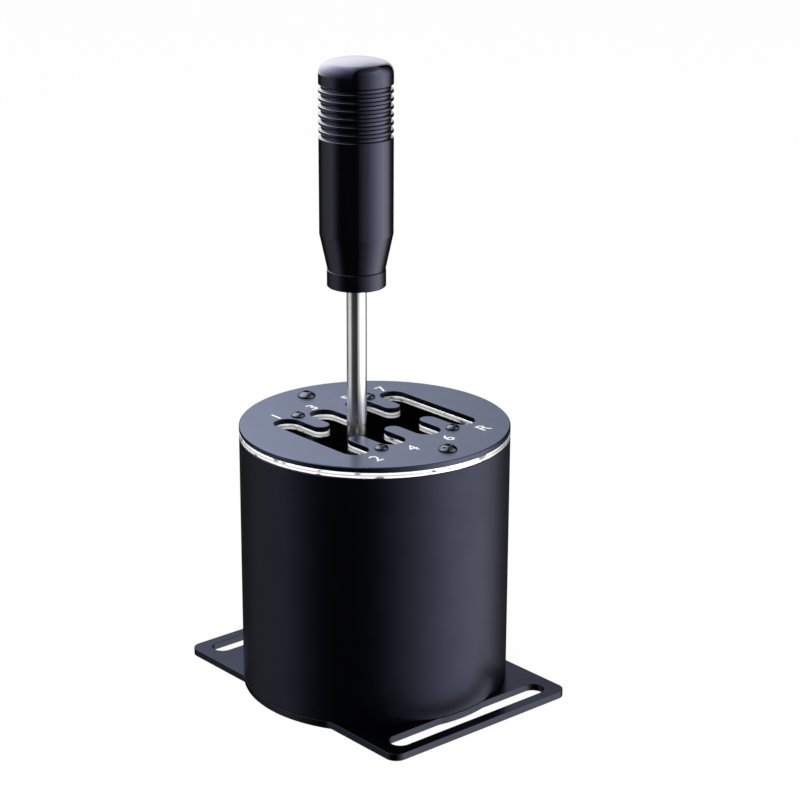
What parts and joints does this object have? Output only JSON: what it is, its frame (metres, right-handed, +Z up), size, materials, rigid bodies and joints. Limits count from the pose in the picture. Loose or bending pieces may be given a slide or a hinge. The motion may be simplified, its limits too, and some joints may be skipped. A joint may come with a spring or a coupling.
{
  "type": "sim racing gear shifter",
  "caption": "Sim racing gear shifter: round black housing on a slotted base, H-pattern gate with a polished liner, sprung gimbal lever on a steel shaft and grooved turned knob.",
  "frame": {"origin": "centre of the base plate's underside, on the axis of the round housing", "axes": "+Z up along the housing, +X to the driver's right from the 1-2 plane to the 7-R plane, +Y forward from gears 2, 4, 6 and R to gears 1, 3, 5 and 7"},
  "size_m": [0.11, 0.135, 0.261],
  "materials": {
    "anodised_black": "satin black anodised",
    "gate_black": "fine satin black anodised",
    "polished_steel": "polished",
    "black_oxide": "black oxide",
    "shaft_steel": "ground satin",
    "knob_black": "glossy black anodised",
    "machined_alloy": "machined",
    "plated_steel": "zinc plated",
    "spring_steel": "bright drawn",
    "bronze": "sintered",
    "magnet_nickel": "nickel plated",
    "circuit_board": "solder mask",
    "chip_black": "moulded"
  },
  "bodies": {
    "housing": {"base_plate": "anodised_black", "housing_tube": "anodised_black", "gate_liner": "polished_steel", "top_plate": "gate_black", "top_screws": "black_oxide", "gate_screws": "black_oxide", "gate_nuts": "plated_steel", "front_pillar": "machined_alloy", "rear_pillar": "machined_alloy", "base_screws": "black_oxide", "pivot_bracket": "machined_alloy", "bracket_screws": "black_oxide", "front_bush": "bronze", "rear_bush": "bronze", "left_centring_spring": "spring_steel", "right_centring_spring": "spring_steel", "select_sensor_board": "circuit_board", "select_sensor_chip": "chip_black", "select_sensor_spacers": "plated_steel", "select_sensor_screws": "plated_steel", "controller_board": "circuit_board", "controller_chip": "chip_black", "board_spacers": "plated_steel", "board_screws": "plated_steel", "usb_socket": "plated_steel", "usb_tongue": "chip_black"},
    "gimbal": {"gimbal_ring": "machined_alloy", "front_select_pin": "shaft_steel", "rear_select_pin": "shaft_steel", "select_magnet": "magnet_nickel", "left_bush": "bronze", "right_bush": "bronze", "detent_spring": "spring_steel", "detent_spring_screws": "plated_steel", "shift_sensor_board": "circuit_board", "shift_sensor_chip": "chip_black", "shift_sensor_spacers": "plated_steel", "shift_sensor_screws": "plated_steel"},
    "lever": {"lever_hub": "machined_alloy", "shift_pin": "shaft_steel", "shift_magnet": "magnet_nickel", "hub_set_screw": "black_oxide", "lever_shaft": "shaft_steel", "knob_collar": "knob_black", "shift_knob": "knob_black"}
  },
  "joints": [
    {"name": "select", "type": "hinge", "parent": "housing", "child": "gimbal", "pos_m": [-0.0094, 0, 0.026], "axis": [0, 1, 0], "range_deg": [-12.64, 24.17], "stiffness_Nm_per_rad": 2, "deforming": ["left_centring_spring", "right_centring_spring"]},
    {"name": "shift", "type": "hinge", "parent": "gimbal", "child": "lever", "pos_m": [-0.0094, 0, 0.026], "axis": [-1, 0, 0], "range_deg": [-13, 13], "deforming": ["detent_spring"]}
  ]
}
